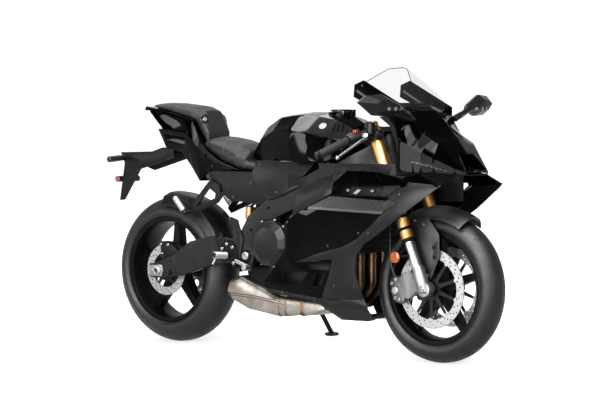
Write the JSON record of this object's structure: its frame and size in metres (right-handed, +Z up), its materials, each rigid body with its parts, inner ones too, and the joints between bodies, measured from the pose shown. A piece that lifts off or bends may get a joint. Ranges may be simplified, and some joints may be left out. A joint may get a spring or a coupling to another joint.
{
  "type": "sport motorcycle",
  "caption": "Fully faired sport motorcycle leaning on its side stand, with steering, free wheels, folding stand and a hinged filler lid",
  "frame": {"origin": "centre of the footprint of the bounding box, on the floor under the parked motorcycle", "axes": "+X forward, +Y to the rider's left, +Z up; the machine leans 10 degrees to +Y on its side stand"},
  "size_m": [2.068, 0.8686, 1.1697],
  "materials": {
    "tyre_rubber": "matt moulded rubber",
    "wheel_black": "satin black paint on cast aluminium",
    "disc_steel": "ground stainless steel",
    "sprocket_steel": "oiled steel",
    "fork_gold": "gold anodised, polished",
    "fork_chrome": "hard chrome",
    "cast_silver": "silver-grey painted casting",
    "axle_steel": "turned steel",
    "clamp_black": "satin black anodised",
    "caliper_grey": "grey hard anodised",
    "grip_rubber": "matt grip rubber",
    "control_black": "moulded switch plastic and black castings",
    "satin_black": "satin dark grey moulding",
    "gloss_black": "deep gloss black lacquer",
    "frame_grey": "satin dark grey paint on cast aluminium",
    "swingarm_grey": "satin dark grey paint",
    "engine_grey": "dark grey crinkle paint on castings",
    "cover_black": "black painted engine covers",
    "header_bronze": "heat-tinted steel pipe",
    "muffler_titanium": "bead-blasted steel with tinted welds",
    "radiator_black": "black painted core",
    "chain_steel": "oiled roller chain",
    "shock_steel": "black spring on an alloy body",
    "seat_cover": "matt black seat vinyl with stitched seams",
    "lamp_red": "red lamp lens",
    "lamp_clear": "clear lamp lens",
    "screen_clear": "clear polycarbonate",
    "display_black": "dark display glass and housing",
    "bracket_black": "black brackets",
    "lid_metal": "black anodised filler cap"
  },
  "bodies": {
    "chassis": {"main_frame": "frame_grey", "swingarm": "swingarm_grey", "stand_bosses": "swingarm_grey", "rear_axle": "axle_steel", "rear_brake_caliper": "clamp_black", "shock_absorber": "shock_steel", "drive_chain": "chain_steel", "rear_hugger": "satin_black", "engine_block": "engine_grey", "engine_covers": "cover_black", "exhaust_headers": "header_bronze", "muffler": "muffler_titanium", "radiator": "radiator_black", "fuel_tank": "gloss_black", "rider_seat": "seat_cover", "passenger_seat": "seat_cover", "tail_cowl": "gloss_black", "tail_light": "lamp_red", "plate_bracket": "bracket_black", "side_fairings": "gloss_black", "lower_fairings": "satin_black", "inner_fairings": "bracket_black", "side_covers": "satin_black", "nose_cowl": "gloss_black", "winglets": "gloss_black", "windscreen": "screen_clear", "position_lamps": "lamp_clear", "mirrors": "satin_black", "instrument_dash": "display_black", "footrest_brackets": "bracket_black", "passenger_footrests": "bracket_black", "subframe": "bracket_black"},
    "front_wheel_body": {"front_tyre": "tyre_rubber", "front_wheel": "wheel_black", "front_brake_discs": "disc_steel"},
    "steering_body": {"fork_outer_tubes": "fork_gold", "fork_inner_tubes": "fork_chrome", "axle_carriers": "cast_silver", "front_axle": "axle_steel", "upper_triple_clamp": "clamp_black", "lower_triple_clamp": "clamp_black", "handlebars": "clamp_black", "grips": "grip_rubber", "hand_controls": "control_black", "front_brake_calipers": "caliper_grey", "front_fender": "satin_black"},
    "rear_wheel_body": {"rear_tyre": "tyre_rubber", "rear_wheel": "wheel_black", "rear_brake_disc": "disc_steel", "rear_sprocket": "sprocket_steel"},
    "side_stand_body": {"side_stand": "bracket_black"},
    "fuel_lid_body": {"fuel_lid": "lid_metal"}
  },
  "joints": [
    {"name": "steering", "type": "hinge", "parent": "chassis", "child": "steering_body", "pos_m": [0.47739, -0.03454, 0.83029], "axis": [-0.384, 0.1603, 0.9093], "range_deg": [-27, 27]},
    {"name": "front_wheel_spin", "type": "hinge", "parent": "steering_body", "child": "front_wheel_body", "pos_m": [0.734, -0.12885, 0.29544], "axis": [0, 0.9848, -0.1736], "continuous": true},
    {"name": "rear_wheel_spin", "type": "hinge", "parent": "chassis", "child": "rear_wheel_body", "pos_m": [-0.686, -0.12624, 0.31021], "axis": [0, 0.9848, -0.1736], "continuous": true},
    {"name": "side_stand_fold", "type": "hinge", "parent": "chassis", "child": "side_stand_body", "pos_m": [-0.086, 0.00834, 0.23267], "axis": [0.1899, 0.9196, 0.3438], "range_deg": [0, 100]},
    {"name": "fuel_lid_hinge", "type": "hinge", "parent": "chassis", "child": "fuel_lid_body", "pos_m": [0.275, -0.00625, 0.99072], "axis": [0, 0.9848, -0.1736], "range_deg": [0, 95]}
  ]
}
